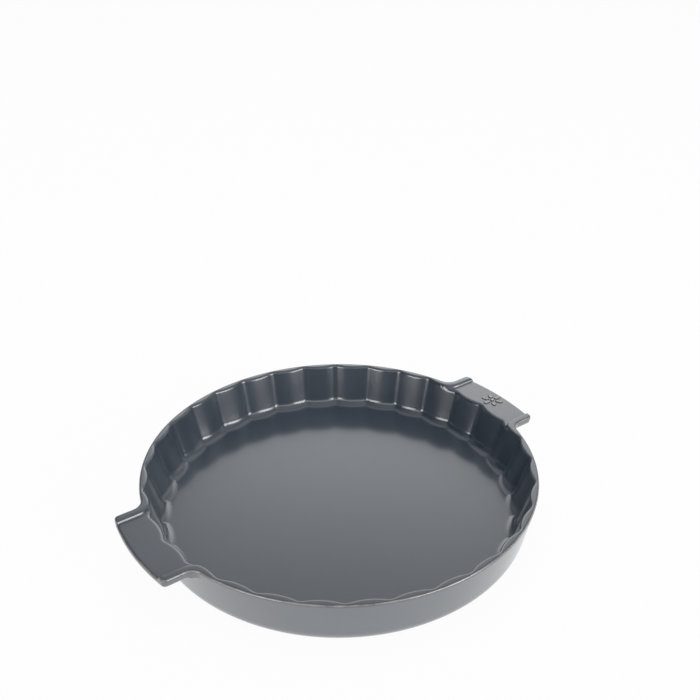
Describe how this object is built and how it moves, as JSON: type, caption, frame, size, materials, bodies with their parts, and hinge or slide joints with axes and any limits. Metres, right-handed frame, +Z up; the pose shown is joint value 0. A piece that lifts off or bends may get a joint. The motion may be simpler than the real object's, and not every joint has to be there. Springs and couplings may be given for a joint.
{
  "type": "tart dish",
  "caption": "Round fluted ceramic tart dish with a flat bottom, a scalloped inner wall and wide flat side handles edged by raised ridges.",
  "frame": {"origin": "centre of the dish on the plane that the foot ring stands on", "axes": "+X through the middle of a handle, +Z up out of the dish"},
  "size_m": [0.3392, 0.2996, 0.04],
  "materials": {
    "glaze": "slate grey satin gloss glaze, bare at the foot ring"
  },
  "bodies": {
    "root": {"tart_dish": "glaze"}
  },
  "joints": []
}
